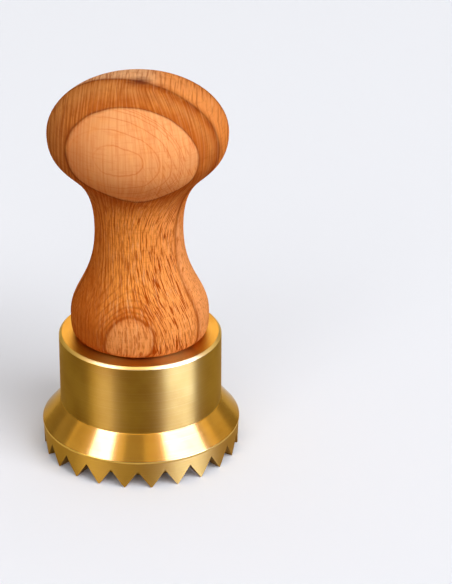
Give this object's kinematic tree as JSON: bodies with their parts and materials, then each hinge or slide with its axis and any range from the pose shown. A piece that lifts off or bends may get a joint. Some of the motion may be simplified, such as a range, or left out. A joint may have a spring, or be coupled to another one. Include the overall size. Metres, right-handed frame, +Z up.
{
  "type": "ravioli stamp",
  "caption": "Hand stamp for cutting round ravioli: turned beech knob handle on a brass head with a ring of V teeth and a sprung concave ejector plate inside it.",
  "frame": {"origin": "on the stamp's axis, in the plane of the tooth crests that it stands on", "axes": "+Z up along the axis, from the teeth to the knob; a groove between two teeth faces -Y"},
  "size_m": [0.05, 0.05, 0.0987],
  "materials": {
    "turned_brass": "fine turned, polished",
    "dish_brass": "turned, satin",
    "beech": "turned and oiled",
    "insert_brass": "machined",
    "stud_steel": "machined",
    "stem_steel": "ground",
    "spring_steel": "drawn wire"
  },
  "bodies": {
    "head": {"cutter_body": "turned_brass", "handle": "beech", "handle_insert": "insert_brass", "guide_stud": "stud_steel", "return_spring": "spring_steel"},
    "ejector": {"ejector_plate": "dish_brass", "ejector_stem": "stem_steel", "stop_washer": "stem_steel", "stop_nut": "stem_steel"}
  },
  "joints": [
    {"name": "ejector_slide", "type": "slide", "parent": "head", "child": "ejector", "axis": [0, 0, 1], "range_m": [0, 0.0048], "stiffness_N_per_m": 600, "springref_m": -0.01, "deforming": ["return_spring"]}
  ]
}
